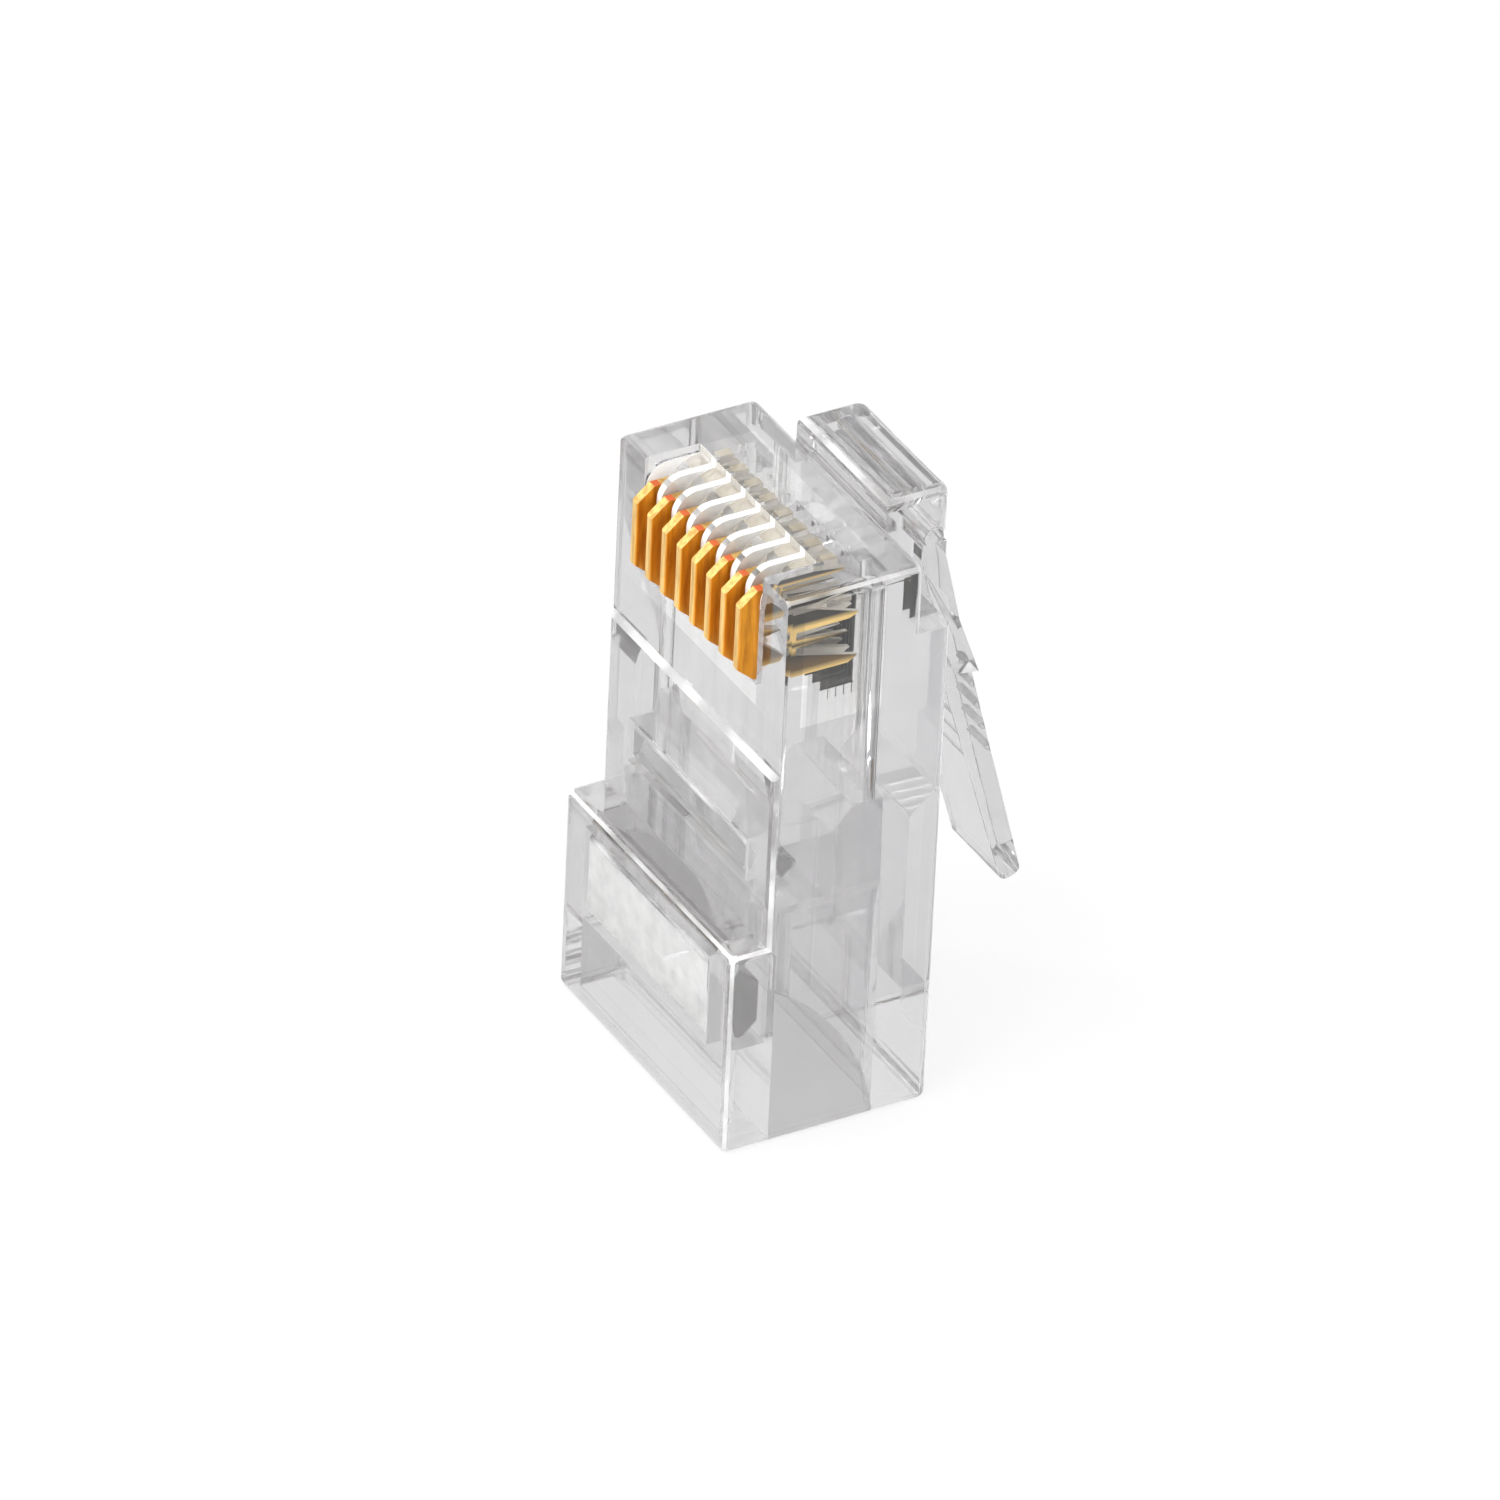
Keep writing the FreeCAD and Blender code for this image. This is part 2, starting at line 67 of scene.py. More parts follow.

# colour of a blade's bare part from its foot to its top: brass edges, and dark flanks of the three tines
# that are painted reflections, not the metal's own colour
BRASS, BROWN_REFLECTION, DARK_REFLECTION = (1.0, 0.70, 0.26), (0.16, 0.09, 0.03), (0.03, 0.028, 0.025)
# pale tin of the other bare faces: a tinned finish, made pale and dull partly as painted light so the tines
# read bright inside the slits
PALE_TIN_AND_LIGHT = (0.82, 0.78, 0.70)
TINE_REFLECTION_BANDS = ((0.0, BRASS), (0.12, BRASS), (0.20, BROWN_REFLECTION), (0.36, DARK_REFLECTION), (0.44, BRASS), (0.48, DARK_REFLECTION),
              (0.53, BRASS), (0.66, BRASS), (0.72, DARK_REFLECTION), (1.0, DARK_REFLECTION))

# softboxes: name, place, width and height, brightness; all face the middle of the plug
LAMP_TARGET = (0.0, 0.0, 0.011)
LAMPS = (("key", (0.02, -0.10, 0.22), (0.12, 0.04), 16.0),
         ("side", (0.20, -0.02, 0.12), (0.03, 0.12), 14.0),
         ("rim", (-0.14, -0.16, 0.08), (0.03, 0.12), 14.0))

# dark cards: name, shade, middle; both have the same half width and half height
CARDS = (("left_card", 0.04, (-0.035, -0.05, 0.02)), ("right_card", 0.12, (0.03, 0.05, 0.02)))
CARD_ACROSS = (-0.012, 0.008, 0.0)
CARD_TALL = 0.02

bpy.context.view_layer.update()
CONTACT_NODES = sorted(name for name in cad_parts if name.startswith("contact_"))


# ---------------------------------------------------------------- settings

class PlasticSettings(bpy.types.PropertyGroup):
    """Finish of the clear mouldings."""
    # painted light: the slit lids and the nose round the blades keep nearly all light, brighter than the
    # rest of the clear plastic
    bright: bpy.props.FloatVectorProperty(
        name="Bright faces", description="Share of light kept at each face round the slits",
        default=(0.97, 0.97, 0.96), subtype="COLOR", min=0.0, max=1.0)
    tint: bpy.props.FloatVectorProperty(
        name="Tint", description="Share of light kept at each other face of the clear plastic",
        default=(0.655, 0.65, 0.66), subtype="COLOR", min=0.0, max=1.0)
    index: bpy.props.FloatProperty(
        name="Refractive index", description="Refractive index of polycarbonate",
        default=1.585, min=1.0, max=2.5)
    roughness: bpy.props.FloatProperty(
        name="Roughness", description="Roughness of the polished mould faces",
        default=0.03, min=0.0, max=1.0, subtype="FACTOR")
    milk: bpy.props.FloatVectorProperty(
        name="Milk", description="Colour of the frosted places",
        default=(0.93, 0.93, 0.92), subtype="COLOR", min=0.0, max=1.0)
    # painted reflection: the warm milk stands for the gold blades seen through the comb's grooves and ovals
    warm: bpy.props.FloatVectorProperty(
        name="Warm milk", description="Colour of the frosted places over the blades",
        default=(0.95, 0.80, 0.55), subtype="COLOR", min=0.0, max=1.0)
    edge: bpy.props.FloatProperty(
        name="Edge radius", description="Rounding of the moulded edges",
        default=0.06 * MM, min=0.0, unit="LENGTH", precision=6)


class GoldSettings(bpy.types.PropertyGroup):
    """Finish of the plated blades."""
    # painted highlight and shade: the front edges take the paler plating colour, the flanks the deeper
    # orange below it
    plating: bpy.props.FloatVectorProperty(
        name="Plating", description="Colour of the gold plating",
        default=(1.0, 0.68, 0.24), subtype="COLOR", min=0.0, max=1.0)
    flank_shade: bpy.props.FloatVectorProperty(
        name="Bronze", description="Colour of the bare bronze behind the plating",
        default=(0.84, 0.34, 0.02), subtype="COLOR", min=0.0, max=1.0)
    copper: bpy.props.FloatVectorProperty(
        name="Cut ends", description="Colour of the cut upper and lower ends",
        default=(0.80, 0.16, 0.04), subtype="COLOR", min=0.0, max=1.0)
    neck: bpy.props.FloatProperty(
        name="Plated depth", description="Depth of the plating behind the contact edge",
        default=1.42 * MM, min=0.0, unit="LENGTH", precision=6)


class StudioSettings(bpy.types.PropertyGroup):
    """Camera and light."""
    azimuth: bpy.props.FloatProperty(
        name="Azimuth", description="Turn of the camera round the plug",
        default=math.radians(59.298), subtype="ANGLE")
    elevation: bpy.props.FloatProperty(
        name="Elevation", description="Height of the camera above the horizon",
        default=math.radians(33.72), subtype="ANGLE")
    roll: bpy.props.FloatProperty(
        name="Roll", description="Turn of the camera about its own line of sight",
        default=math.radians(2.707), subtype="ANGLE")
    distance: bpy.props.FloatProperty(
        name="Distance", description="From the camera to the middle of the plug",
        default=0.7302, unit="LENGTH")
    lens: bpy.props.FloatProperty(
        name="Focal length", description="Focal length on a 36 mm sensor",
        default=516.57, unit="CAMERA")
    floor: bpy.props.FloatProperty(
        name="Floor", description="Length of the square floor's side", default=6.0, unit="LENGTH")
    aim: bpy.props.FloatVectorProperty(
        name="Aim", description="Point the camera looks at",
        default=(-0.461 * MM, 0.067 * MM, 11.646 * MM), subtype="TRANSLATION")


# ---------------------------------------------------------------- shader maths

class Wire:
    """A shader socket; sums and products of wires become Math nodes."""

    def __init__(self, tree, socket):
        self.tree = tree
        self.socket = socket

    def math(self, operation, *terms):
        node = self.tree.nodes.new("ShaderNodeMath")
        node.operation = operation
        for slot, term in zip(node.inputs, terms):
            plug_in(self.tree, slot, term)
        return Wire(self.tree, node.outputs[0])

    def __add__(self, other):
        return self.math("ADD", self, other)

    def __radd__(self, other):
        return self.math("ADD", other, self)

    def __sub__(self, other):
        return self.math("SUBTRACT", self, other)

    def __rsub__(self, other):
        return self.math("SUBTRACT", other, self)

    def __mul__(self, other):
        return self.math("MULTIPLY", self, other)

    def __rmul__(self, other):
        return self.math("MULTIPLY", other, self)

    def __truediv__(self, other):
        return self.math("DIVIDE", self, other)

    def __gt__(self, other):
        return self.math("GREATER_THAN", self, other)

    def __lt__(self, other):
        return self.math("LESS_THAN", self, other)

    def __abs__(self):
        return self.math("ABSOLUTE", self)

    def fraction(self):
        return self.math("FRACT", self)


def plug_in(tree, slot, term):
    """Links a wire to a socket, or sets the socket's own value."""
    if isinstance(term, Wire):
        tree.links.new(term.socket, slot)
    else:
        slot.default_value = term


class Recipe:
    """A material whose nodes are added one call at a time."""

    def __init__(self, name):
        self.material = bpy.data.materials.new(name)
        self.material.use_nodes = True
        self.tree = self.material.node_tree
        self.tree.nodes.clear()

    def add(self, kind, settings=None, out=0, **sockets):
        """Adds a node: its type, its settings, then the values or links of its sockets.

        A socket is named in lower case with _ for a blank, or by its number after an n."""
        node = self.tree.nodes.new("ShaderNode" + kind)
        for key, value in (settings or {}).items():
            if key == "stops":
                set_stops(node.color_ramp, value)
            else:
                setattr(node, key, value)
        for key, term in sockets.items():
            plug_in(self.tree, find_socket(node, key), term)
        return Wire(self.tree, node.outputs[out])

    def parts(self, vector):
        """The three numbers of a vector, as wires."""
        node = self.tree.nodes.new("ShaderNodeSeparateXYZ")
        plug_in(self.tree, node.inputs[0], vector)
        return [Wire(self.tree, slot) for slot in node.outputs]

    def blend(self, fac, first, second):
        """Colour that goes from first to second with the factor."""
        return self.add("Mix", {"data_type": "RGBA"}, n0=fac, n6=first, n7=second, out=2)

    def finish(self, surface):
        output = self.tree.nodes.new("ShaderNodeOutputMaterial")
        self.tree.links.new(surface.socket, output.inputs["Surface"])
        return self.material


def find_socket(node, key):
    """Input called key, or the input of that number where key is n and a number."""
    if key[0] == "n" and key[1:].isdigit():
        return node.inputs[int(key[1:])]
    wanted = key.replace("_", " ")
    return next(slot for slot in node.inputs if slot.name.lower() == wanted and slot.enabled)


def set_stops(ramp, stops):
    """Colour ramp from (place, colour) pairs."""
    while len(ramp.elements) < len(stops):
        ramp.elements.new(1.0)
    for element, (place, colour) in zip(ramp.elements, stops):
        element.position = place
        element.color = (*colour, 1.0)


# ---------------------------------------------------------------- materials

def within(value, low, high):
    """Mask that is 1 between two limits."""
    return (value > low) * (value < high)


def plastic_mix(name, look, frost, ghost=None, painted_gold_reflection=None, painted_shade=None, bright=None):
    """Polished clear plastic, milky where frost says, unseen where ghost says.

    All five return a factor. frost and ghost take the place and the facing as wires, and the others the
    place. Where the third says, the milk is warm as a painted reflection of the gold blades; the fourth
    greys the plastic as painted shade, and the fifth takes its tint away as painted light.
    The clear part has faint cloudiness, flow waves in its gloss and a few dull patches."""
    recipe = Recipe(name)
    place = recipe.add("TexCoord", out=3)
    facing = recipe.add("NewGeometry", out=1)
    cloud = recipe.add("TexNoise", {"noise_dimensions": "3D"}, vector=place, scale=260.0, detail=3.0)
    flow = recipe.add("TexNoise", {"noise_dimensions": "3D"}, vector=place, scale=900.0, detail=1.0)
    dull = recipe.add("TexNoise", {"noise_dimensions": "3D"}, vector=place, scale=1500.0, detail=4.0)
    pale = tuple(min(1.0, part * 1.06) for part in look.tint)
    deep = tuple(part * 0.94 for part in look.tint)
    colour = recipe.add("ValToRGB", {"stops": [(0.3, deep), (0.7, pale)]}, fac=cloud)
    spot, turned = recipe.parts(place), recipe.parts(facing)
    if painted_shade:
        colour = recipe.blend(painted_shade(spot), colour, (*(part * PAINTED_SHADE_SHARE for part in look.tint), 1.0))
    if bright:
        colour = recipe.blend(bright(spot), colour, (*look.bright, 1.0))
    normal = recipe.add("Bump", strength=0.05, distance=0.00003, height=flow)
    clear = recipe.add(
        "BsdfPrincipled", base_color=colour, roughness=look.roughness * (0.6 + dull * 0.8),
        ior=look.index, transmission_weight=1.0, normal=normal)
    white = (*look.milk, 1.0)
    if painted_gold_reflection:
        white = recipe.blend(painted_gold_reflection(spot), white, (*look.warm, 1.0))
    milk = recipe.add("BsdfPrincipled", base_color=white, roughness=0.3 + dull * 0.2, ior=look.index)
    surface = recipe.add("MixShader", fac=frost(spot, turned, dull), n1=clear, n2=milk)
    if ghost:
        hole = recipe.add("BsdfTransparent", color=(1.0, 1.0, 1.0, 1.0))
        surface = recipe.add("MixShader", fac=ghost(spot, turned), n1=surface, n2=hole)
    return recipe.finish(surface)


def housing_plastic(look, comb):
    """Clear plastic of the housing with a frosted comb, a nose brightened as painted light, painted
    reflections and highlights over the blades, painted shade on the arched relief, and unseen slits and
    channels.
    """
    def from_blade(x):
        return abs((x / comb.pitch).fraction() - 0.5)

    def frost(place, facing, dull):
        x, y, z = place
        over = (abs(x) < comb.half) * (z > comb.low)
        field = over * (y < comb.back)
        slit = over * (y < comb.deep) * (y > comb.back) * (z < comb.slit_top)
        flank = abs(facing[0]) > UPRIGHT
        white = (from_blade(x) > comb.ridge) * (0.5 - flank * 0.35) + 0.32
        # milky ovals that are painted reflections of the blades' tops, and a milky row behind them that is
        # painted highlights of the channel ends
        painted_glints = within(y, comb.oval_low, comb.oval_high) * 0.4 + (y > comb.bump) * 0.12
        return 0.02 + (field * white + slit * painted_glints) * (0.7 + dull * 0.6)

    # painted reflection of the gold blades: warm milk on the groove floors and in the oval band
    def painted_gold_reflection(place):
        x, y, z = place
        groove = (y < comb.back) * (from_blade(x) < comb.ridge) * 0.55
        return groove + within(y, comb.oval_low, comb.oval_high)

    def ghost(place, facing):
        x, y, z = place
        row = abs(x) < comb.half
        room = (abs(x) < comb.room_half) * within(y, comb.room_low, comb.room_high) * (z < comb.room_top)
        front = room * (abs(facing[0]) < UPRIGHT) * (z > comb.room_foot)
        wall = room * (abs(x) < comb.wall_half) * (abs(facing[0]) > UPRIGHT)
        channel = row * within(y, comb.channel_low, comb.channel_high) * within(z, comb.mouth, comb.slit_top)
        slit = row * within(y, comb.neck, comb.deep) * within(z, comb.foot, comb.low)
        painted_glints = within(y, comb.oval_low, comb.oval_high) + (y > comb.bump)
        between = row * within(y, comb.back, comb.deep) * within(z, comb.low, comb.slit_top) * (1 - painted_glints)
        return channel * 0.95 + slit + between + front * 0.6 + wall * 0.35

    # painted shade: greys the plastic over the arched relief in the side wall
    def painted_shade(place):
        x, y, z = place
        side = within(abs(x), comb.arch_in, comb.arch_out)
        return side * within(y, comb.arch_low, comb.arch_high) * (z < comb.arch_top)

    # painted light: the slit lids, the nose in front of the blades and the faces beside the row lose their
    # tint
    def bright(place):
        x, y, z = place
        row = abs(x) < comb.half
        tall = within(z, comb.foot, comb.slit_top)
        lid = row * (y < comb.lid_end) * (z > comb.slit_top)
        beside = (abs(x) > comb.half) * within(y, comb.neck, comb.deep) * tall
        return lid + beside + row * (y < comb.deep) * tall

    return plastic_mix("housing_plastic", look, frost, ghost, painted_gold_reflection, painted_shade, bright)


def even_plastic(name, look, share):
    """Clear plastic with an even, slightly patchy share of milk."""
    return plastic_mix(name, look, lambda place, facing, dull: share * (0.6 + dull * 0.8))


def plated_blade(look, low, high, neck, outer):
    """Gold plating with drawn streaks in front of the neck, paler on the front edges as painted highlight
    and deeper orange on the flanks as painted shade; bare tines behind it, pale and dull partly as painted
    light, with painted reflection bands on the outermost blades' outer faces; copper-red ends.
    """
    recipe = Recipe("plated_blade")
    place = recipe.add("TexCoord", out=3)
    drawn = recipe.add("Mapping", vector=place, scale=(1.0, 1.0, 0.12))
    streak = recipe.add("TexNoise", {"noise_dimensions": "3D"}, vector=drawn, scale=5200.0, detail=3.0)
    grain = recipe.add("TexNoise", {"noise_dimensions": "3D"}, vector=place, scale=2500.0, detail=4.0)
    facing = recipe.parts(recipe.add("NewGeometry", out=1))
    flank = abs(facing[0]) > 0.6
    # painted highlight and shade by facing: paler plating on the front edges, deeper orange on the flanks
    gold = recipe.blend(flank, (*look.plating, 1.0), (*look.flank_shade, 1.0))
    stops = [(0.35, (0.62, 0.5, 0.4)), (0.62, (1.0, 1.0, 1.0))]
    shade = recipe.add("ValToRGB", {"stops": stops}, fac=streak)
    drawn_look = {"data_type": "RGBA", "blend_type": "MULTIPLY"}
    gold = recipe.add("Mix", drawn_look, n0=0.8, n6=gold, n7=shade, out=2)
    x, y, z = recipe.parts(place)
    # painted reflections: dark and brass bands up the outermost blades' outer faces, from foot to top
    tines = recipe.add("ValToRGB", {"stops": TINE_REFLECTION_BANDS}, fac=(z - low) / (high - low))
    outside = abs(x) > outer
    bare = recipe.blend(outside, (*PALE_TIN_AND_LIGHT, 1.0), tines)
    behind = y > neck
    colour = recipe.blend(behind, gold, bare)
    cut = (facing[2] > 0.9) * (y < neck - 0.5 * MM)
    colour = recipe.blend(cut, colour, (*look.copper, 1.0))
    normal = recipe.add("Bump", strength=0.1, distance=0.00002, height=streak)
    metal = 1.0 - flank * (1 - behind) * 0.6 - cut * 0.5 - behind * (1 - outside) * 0.8
    surface = recipe.add(
        "BsdfPrincipled", base_color=colour, metallic=metal, roughness=0.22 + grain * 0.2, normal=normal)
    return recipe.finish(surface)


def dress(node, material):
    """Gives a CAD node's object its material."""
    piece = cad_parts[node]
    piece.data.materials.clear()
    piece.data.materials.append(material)


def moulded_copy(node, name, edge, materials):
    """Copy of a moulding with its triangles merged into flat faces and its sharp edges rounded."""
    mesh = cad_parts[node].data.copy()
    mesh.name = name
    shape = bmesh.new()
    shape.from_mesh(mesh)
    bmesh.ops.remove_doubles(shape, verts=shape.verts, dist=1e-6)
    bmesh.ops.dissolve_limit(shape, angle_limit=math.radians(0.5), verts=shape.verts, edges=shape.edges)
    shape.to_mesh(mesh)
    shape.free()
    mesh.materials.clear()
    for material in materials:
        mesh.materials.append(material)
    count = len(mesh.polygons)
    lean, middle, area = (np.zeros(count * width, np.float32) for width in (3, 3, 1))
    mesh.polygons.foreach_get("normal", lean)
    mesh.polygons.foreach_get("center", middle)
    mesh.polygons.foreach_get("area", area)
    rounded = np.abs(lean.reshape(-1, 3)).max(axis=1) < math.cos(math.radians(ROUND_LEAN))
    inside = (np.abs(middle.reshape(-1, 3) - CORE_MIDDLE) < CORE_REACH).all(axis=1)
    # faces that take the painted edge highlight: small slanting faces outside the core
    highlit = rounded & ~inside & (area < ROUND_AREA)
    mesh.polygons.foreach_set("material_index", highlit.astype(np.int32))
    piece = bpy.data.objects.new(name, mesh)
    bpy.context.scene.collection.objects.link(piece)
    bevel = piece.modifiers.new("Edges", "BEVEL")
    bevel.width = edge
    bevel.segments = 2
    bevel.limit_method = "ANGLE"
    bevel.angle_limit = math.radians(35.0)
    # the bevel's new faces take the painted edge highlight too
    bevel.material = 1
    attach(piece, node)
    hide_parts(node)
    return piece


def edge_highlight_finish(look):
    """Whitish painted highlight on the rounded edges: thin frosted plastic over a pale core, in patches."""
    recipe = Recipe("painted_edge_highlight")
    place = recipe.add("TexCoord", out=3)
    highlight_grain = recipe.add("TexNoise", {"noise_dimensions": "3D"}, vector=place, scale=1800.0, detail=3.0)
    patch = recipe.add("TexNoise", {"noise_dimensions": "3D"}, vector=place, scale=420.0, detail=2.0)
    # patches where the pale core shows, as painted highlight
    highlit = recipe.add("ValToRGB", {"stops": [(0.4, (0.05,) * 3), (0.62, (0.65,) * 3)]}, fac=patch)
    frost = recipe.add("BsdfPrincipled", base_color=(0.95, 0.95, 0.96, 1.0), roughness=0.2 + highlight_grain * 0.3,
                       ior=look.index, transmission_weight=1.0)
    pale = recipe.add("BsdfPrincipled", base_color=(0.97, 0.97, 0.97, 1.0), roughness=0.4, ior=look.index)
    surface = recipe.add("MixShader", fac=highlit * (highlight_grain * 0.6 + 0.6), n1=frost, n2=pale)
    return recipe.finish(surface)


# ---------------------------------------------------------------- operators

def comb_limits():
    """Limits of the places whose finish differs, from the first and last blade where they can be."""
    low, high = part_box(CONTACT_NODES[0])
    places = SimpleNamespace(pitch=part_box(CONTACT_NODES[1])[0].x - low.x, ridge=0.34)
    places.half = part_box(CONTACT_NODES[-1])[1].x + 0.22 * MM
    places.low, places.foot, places.slit_top = high.z - 0.6 * MM, low.z - 0.9 * MM, high.z + 0.15 * MM
    places.neck, places.deep = low.y + 1.3 * MM, high.y + 0.4 * MM
    # the lids of the slits, from the back of the comb towards the latch
    places.back, places.lid_end = -0.33 * MM, 1.7 * MM
    # band of painted reflections of the blades' tops, and behind it the row of painted highlights of the
    # channel ends
    places.oval_low, places.oval_high, places.bump = 0.08 * MM, 0.62 * MM, 0.98 * MM
    # the wire channels
    places.channel_low, places.channel_high = high.y + 0.15 * MM, high.y + 1.15 * MM
    places.mouth = low.z - 5.4 * MM
    # the room for the cable, and the arched relief in its side wall
    places.room_half, places.wall_half = 5.35 * MM, 5.0 * MM
    places.room_low, places.room_high = -2.3 * MM, 2.4 * MM
    places.room_foot, places.room_top = 0.1 * MM, 12.45 * MM
    # the arched relief is greyed as painted shade
    places.arch_in, places.arch_out = 5.2 * MM, 5.4 * MM
    places.arch_low, places.arch_high, places.arch_top = -2.2 * MM, 2.1 * MM, 6.1 * MM
    return places


class PLUG_OT_plastic(bpy.types.Operator):
    """Dresses the clear mouldings"""
    bl_idname = "plug.plastic"
    bl_label = "Clear mouldings"

    def execute(self, context):
        look = context.scene.plug_plastic
        # second material of each moulding: the painted edge highlight on its rounded edges
        highlight_finish = edge_highlight_finish(look)
        finishes = {"housing": housing_plastic(look, comb_limits()),
                    "latch": even_plastic("latch_plastic", look, 0.08),
                    "strain_relief_bar": even_plastic("bar_plastic", look, 0.4),
                    "anchor_bar": even_plastic("anchor_plastic", look, 0.1)}
        for node, finish in finishes.items():
            moulded_copy(node, node + "_moulding", look.edge, (finish, highlight_finish))
        return {"FINISHED"}


class PLUG_OT_contacts(bpy.types.Operator):
    """Dresses the eight plated blades"""
    bl_idname = "plug.contacts"
    bl_label = "Plated blades"

    def execute(self, context):
        look = context.scene.plug_gold
        low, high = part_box(CONTACT_NODES[0])
        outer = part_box(CONTACT_NODES[-1])[1].x - 0.05 * MM
        gold = plated_blade(look, low.z, high.z, low.y + look.neck, outer)
        for node in CONTACT_NODES:
            dress(node, gold)
        return {"FINISHED"}


def area_lamp(name, place, target, size, brightness):
    """Softbox that faces the target; brightness 1 looks white."""
    lamp = bpy.data.lights.new(name, "AREA")
    lamp.shape = "RECTANGLE"
    lamp.size, lamp.size_y = size
    lamp.energy = brightness * math.pi * size[0] * size[1]
    holder = bpy.data.objects.new(name, lamp)
    bpy.context.scene.collection.objects.link(holder)
    aim = Vector(target) - Vector(place)
    holder.matrix_world = Matrix.Translation(place) @ aim.to_track_quat("-Z", "Y").to_matrix().to_4x4()
    return holder


def camera_frame(azimuth, elevation, roll):
    """Columns right, up and back of a camera that looks at the plug."""
    back = Vector((math.sin(azimuth) * math.cos(elevation), -math.cos(azimuth) * math.cos(elevation),
                   math.sin(elevation)))
    right = Vector((math.cos(azimuth), math.sin(azimuth), 0.0))
    up = back.cross(right)
    level = Matrix((right, up, back)).transposed()
    return level @ Matrix.Rotation(roll, 3, "Z")


def seen_straight(tree):
    """Mask of the rays that show the surroundings: camera, glossy and transmission rays."""
    path = tree.nodes.new("ShaderNodeLightPath")
    seen = Wire(tree, path.outputs["Is Camera Ray"])
    seen = seen.math("MAXIMUM", seen, Wire(tree, path.outputs["Is Glossy Ray"]))
    return seen.math("MAXIMUM", seen, Wire(tree, path.outputs["Is Transmission Ray"]))


def white_room(scene):
    """White surroundings that light the plug a little less than they show."""
    world = bpy.data.worlds.new("white_room")
    scene.world = world
    world.use_nodes = True
    tree = world.node_tree
    tree.nodes.clear()
    glow = tree.nodes.new("ShaderNodeBackground")
    glow.inputs["Color"].default_value = (1.0, 1.0, 1.0, 1.0)
    plug_in(tree, glow.inputs["Strength"], 0.8 + seen_straight(tree) * 0.2)
    out = tree.nodes.new("ShaderNodeOutputWorld")
    tree.links.new(glow.outputs[0], out.inputs["Surface"])


def pale_floor(size):
    """Flat pale floor under the plug that keeps a faint shadow.

    The sheet is the grid of points (u, v, 0) with u and v from minus to plus half its size."""
    steps = np.linspace(-0.5 * size, 0.5 * size, 3)
    u, v = np.meshgrid(steps, steps)
    points = np.column_stack((u.ravel(), v.ravel(), np.zeros(u.size)))
    corner = (np.arange(2)[:, None] * 3 + np.arange(2)).ravel()
    faces = np.column_stack((corner, corner + 1, corner + 4, corner + 3))
    mesh = bpy.data.meshes.new("floor")
    mesh.from_pydata(points.tolist(), [], faces.tolist())
    recipe = Recipe("pale_floor")
    paint = recipe.add("BsdfPrincipled", base_color=(0.9, 0.9, 0.9, 1.0), roughness=0.9)
    glow = recipe.add("Emission", color=(1.0, 1.0, 1.0, 1.0), strength=1.0)
    surface = recipe.add("MixShader", fac=seen_straight(recipe.tree) * 0.8, n1=paint, n2=glow)
    mesh.materials.append(recipe.finish(surface))
    floor = bpy.data.objects.new("floor", mesh)
    bpy.context.scene.collection.objects.link(floor)
    return floor


def dark_card(name, shade, middle, across, tall):
    """Upright dark card beside the plug that shows only by refraction and reflection.

    The card is the grid of points middle + u * across + (0, 0, v * tall) with u and v from -1 to 1."""
    u, v = np.meshgrid(np.linspace(-1.0, 1.0, 2), np.linspace(-1.0, 1.0, 2))
    points = np.array(middle) + np.outer(u.ravel(), across) + np.outer(v.ravel(), (0.0, 0.0, tall))
    mesh = bpy.data.meshes.new(name)
    mesh.from_pydata(points.tolist(), [], [(0, 1, 3, 2)])
    recipe = Recipe(name)
    paint = recipe.add("Emission", color=(shade, shade, shade, 1.0), strength=1.0)
    mesh.materials.append(recipe.finish(paint))
    card = bpy.data.objects.new(name, mesh)
    card.visible_camera = card.visible_shadow = card.visible_diffuse = False
    bpy.context.scene.collection.objects.link(card)


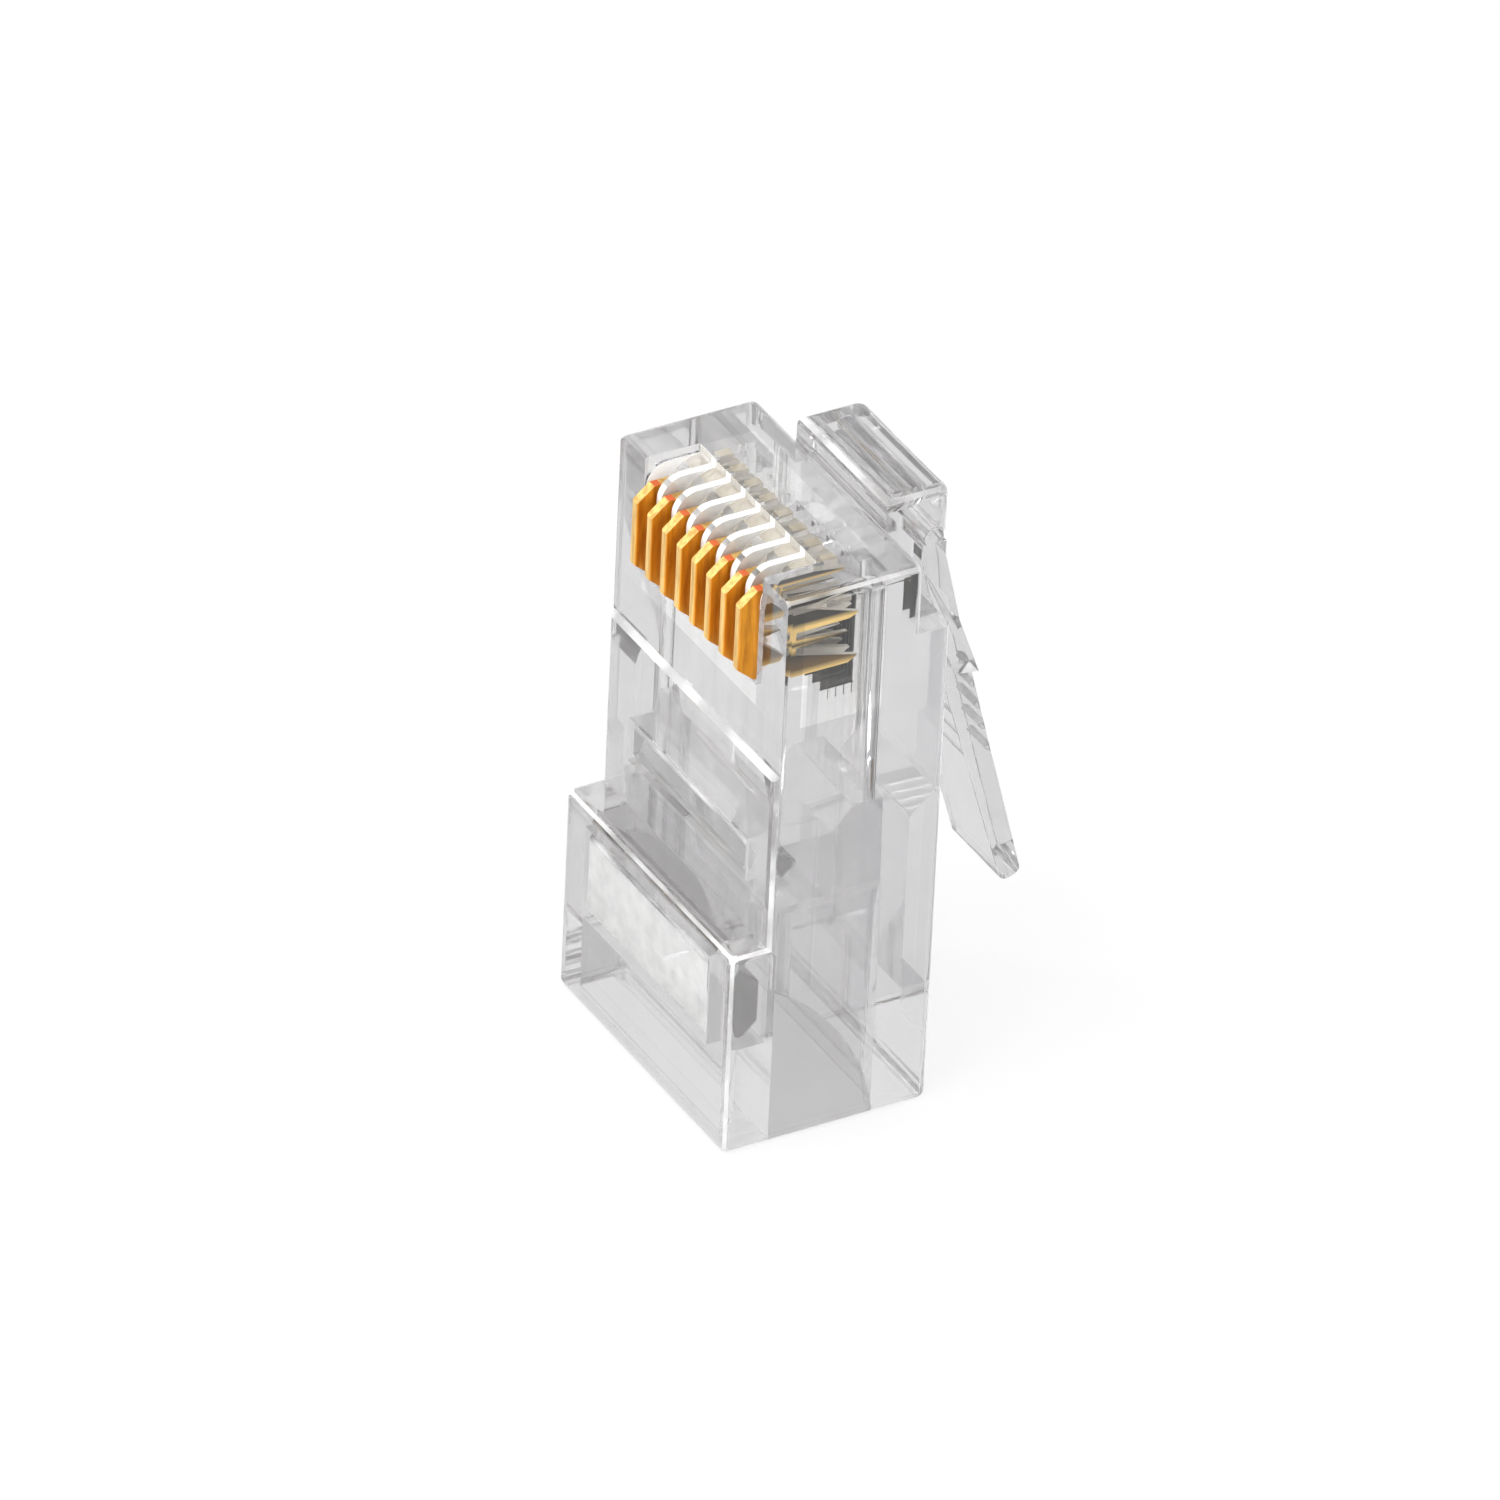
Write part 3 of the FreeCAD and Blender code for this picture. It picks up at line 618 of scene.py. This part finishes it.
class PLUG_OT_studio(bpy.types.Operator):
    """Floor, lamps, dark cards, white surroundings and camera"""
    bl_idname = "plug.studio"
    bl_label = "Studio"

    def execute(self, context):
        look = context.scene.plug_studio
        turn = camera_frame(look.azimuth, look.elevation, look.roll)
        camera = bpy.data.cameras.new("camera")
        camera.sensor_width = 36.0
        camera.lens = look.lens
        camera.clip_start = 0.01
        camera.clip_end = 10.0
        holder = bpy.data.objects.new("camera", camera)
        context.scene.collection.objects.link(holder)
        place = Vector(look.aim) + turn.col[2] * look.distance
        holder.matrix_world = Matrix.Translation(place) @ turn.to_4x4()
        context.scene.camera = holder
        context.scene.view_settings.view_transform = "Standard"
        context.scene.cycles.max_bounces = 48
        context.scene.cycles.transmission_bounces = 48
        context.scene.cycles.glossy_bounces = 16
        white_room(context.scene)
        pale_floor(look.floor)
        for name, shade, middle in CARDS:
            dark_card(name, shade, middle, CARD_ACROSS, CARD_TALL)
        for name, place, size, brightness in LAMPS:
            area_lamp(name, place, LAMP_TARGET, size, brightness)
        return {"FINISHED"}


class PLUG_PT_panel(bpy.types.Panel):
    """Lists the steps that finish the plug"""
    bl_idname = "PLUG_PT_panel"
    bl_label = "Modular plug"
    bl_space_type = "VIEW_3D"
    bl_region_type = "UI"
    bl_category = "Plug"

    def draw(self, context):
        for operator in OPERATORS:
            self.layout.operator(operator.bl_idname)


OPERATORS = (PLUG_OT_studio, PLUG_OT_plastic, PLUG_OT_contacts)
SETTINGS = {"plug_plastic": PlasticSettings, "plug_gold": GoldSettings, "plug_studio": StudioSettings}


def register():
    for kind in (*SETTINGS.values(), *OPERATORS, PLUG_PT_panel):
        bpy.utils.register_class(kind)
    for name, kind in SETTINGS.items():
        setattr(bpy.types.Scene, name, bpy.props.PointerProperty(type=kind))


def unregister():
    for name in SETTINGS:
        delattr(bpy.types.Scene, name)
    for kind in reversed((*SETTINGS.values(), *OPERATORS, PLUG_PT_panel)):
        bpy.utils.unregister_class(kind)


def main():
    register()
    for operator in OPERATORS:
        group, step = operator.bl_idname.split(".")
        getattr(getattr(bpy.ops, group), step)()


if __name__ == "__main__":
    main()
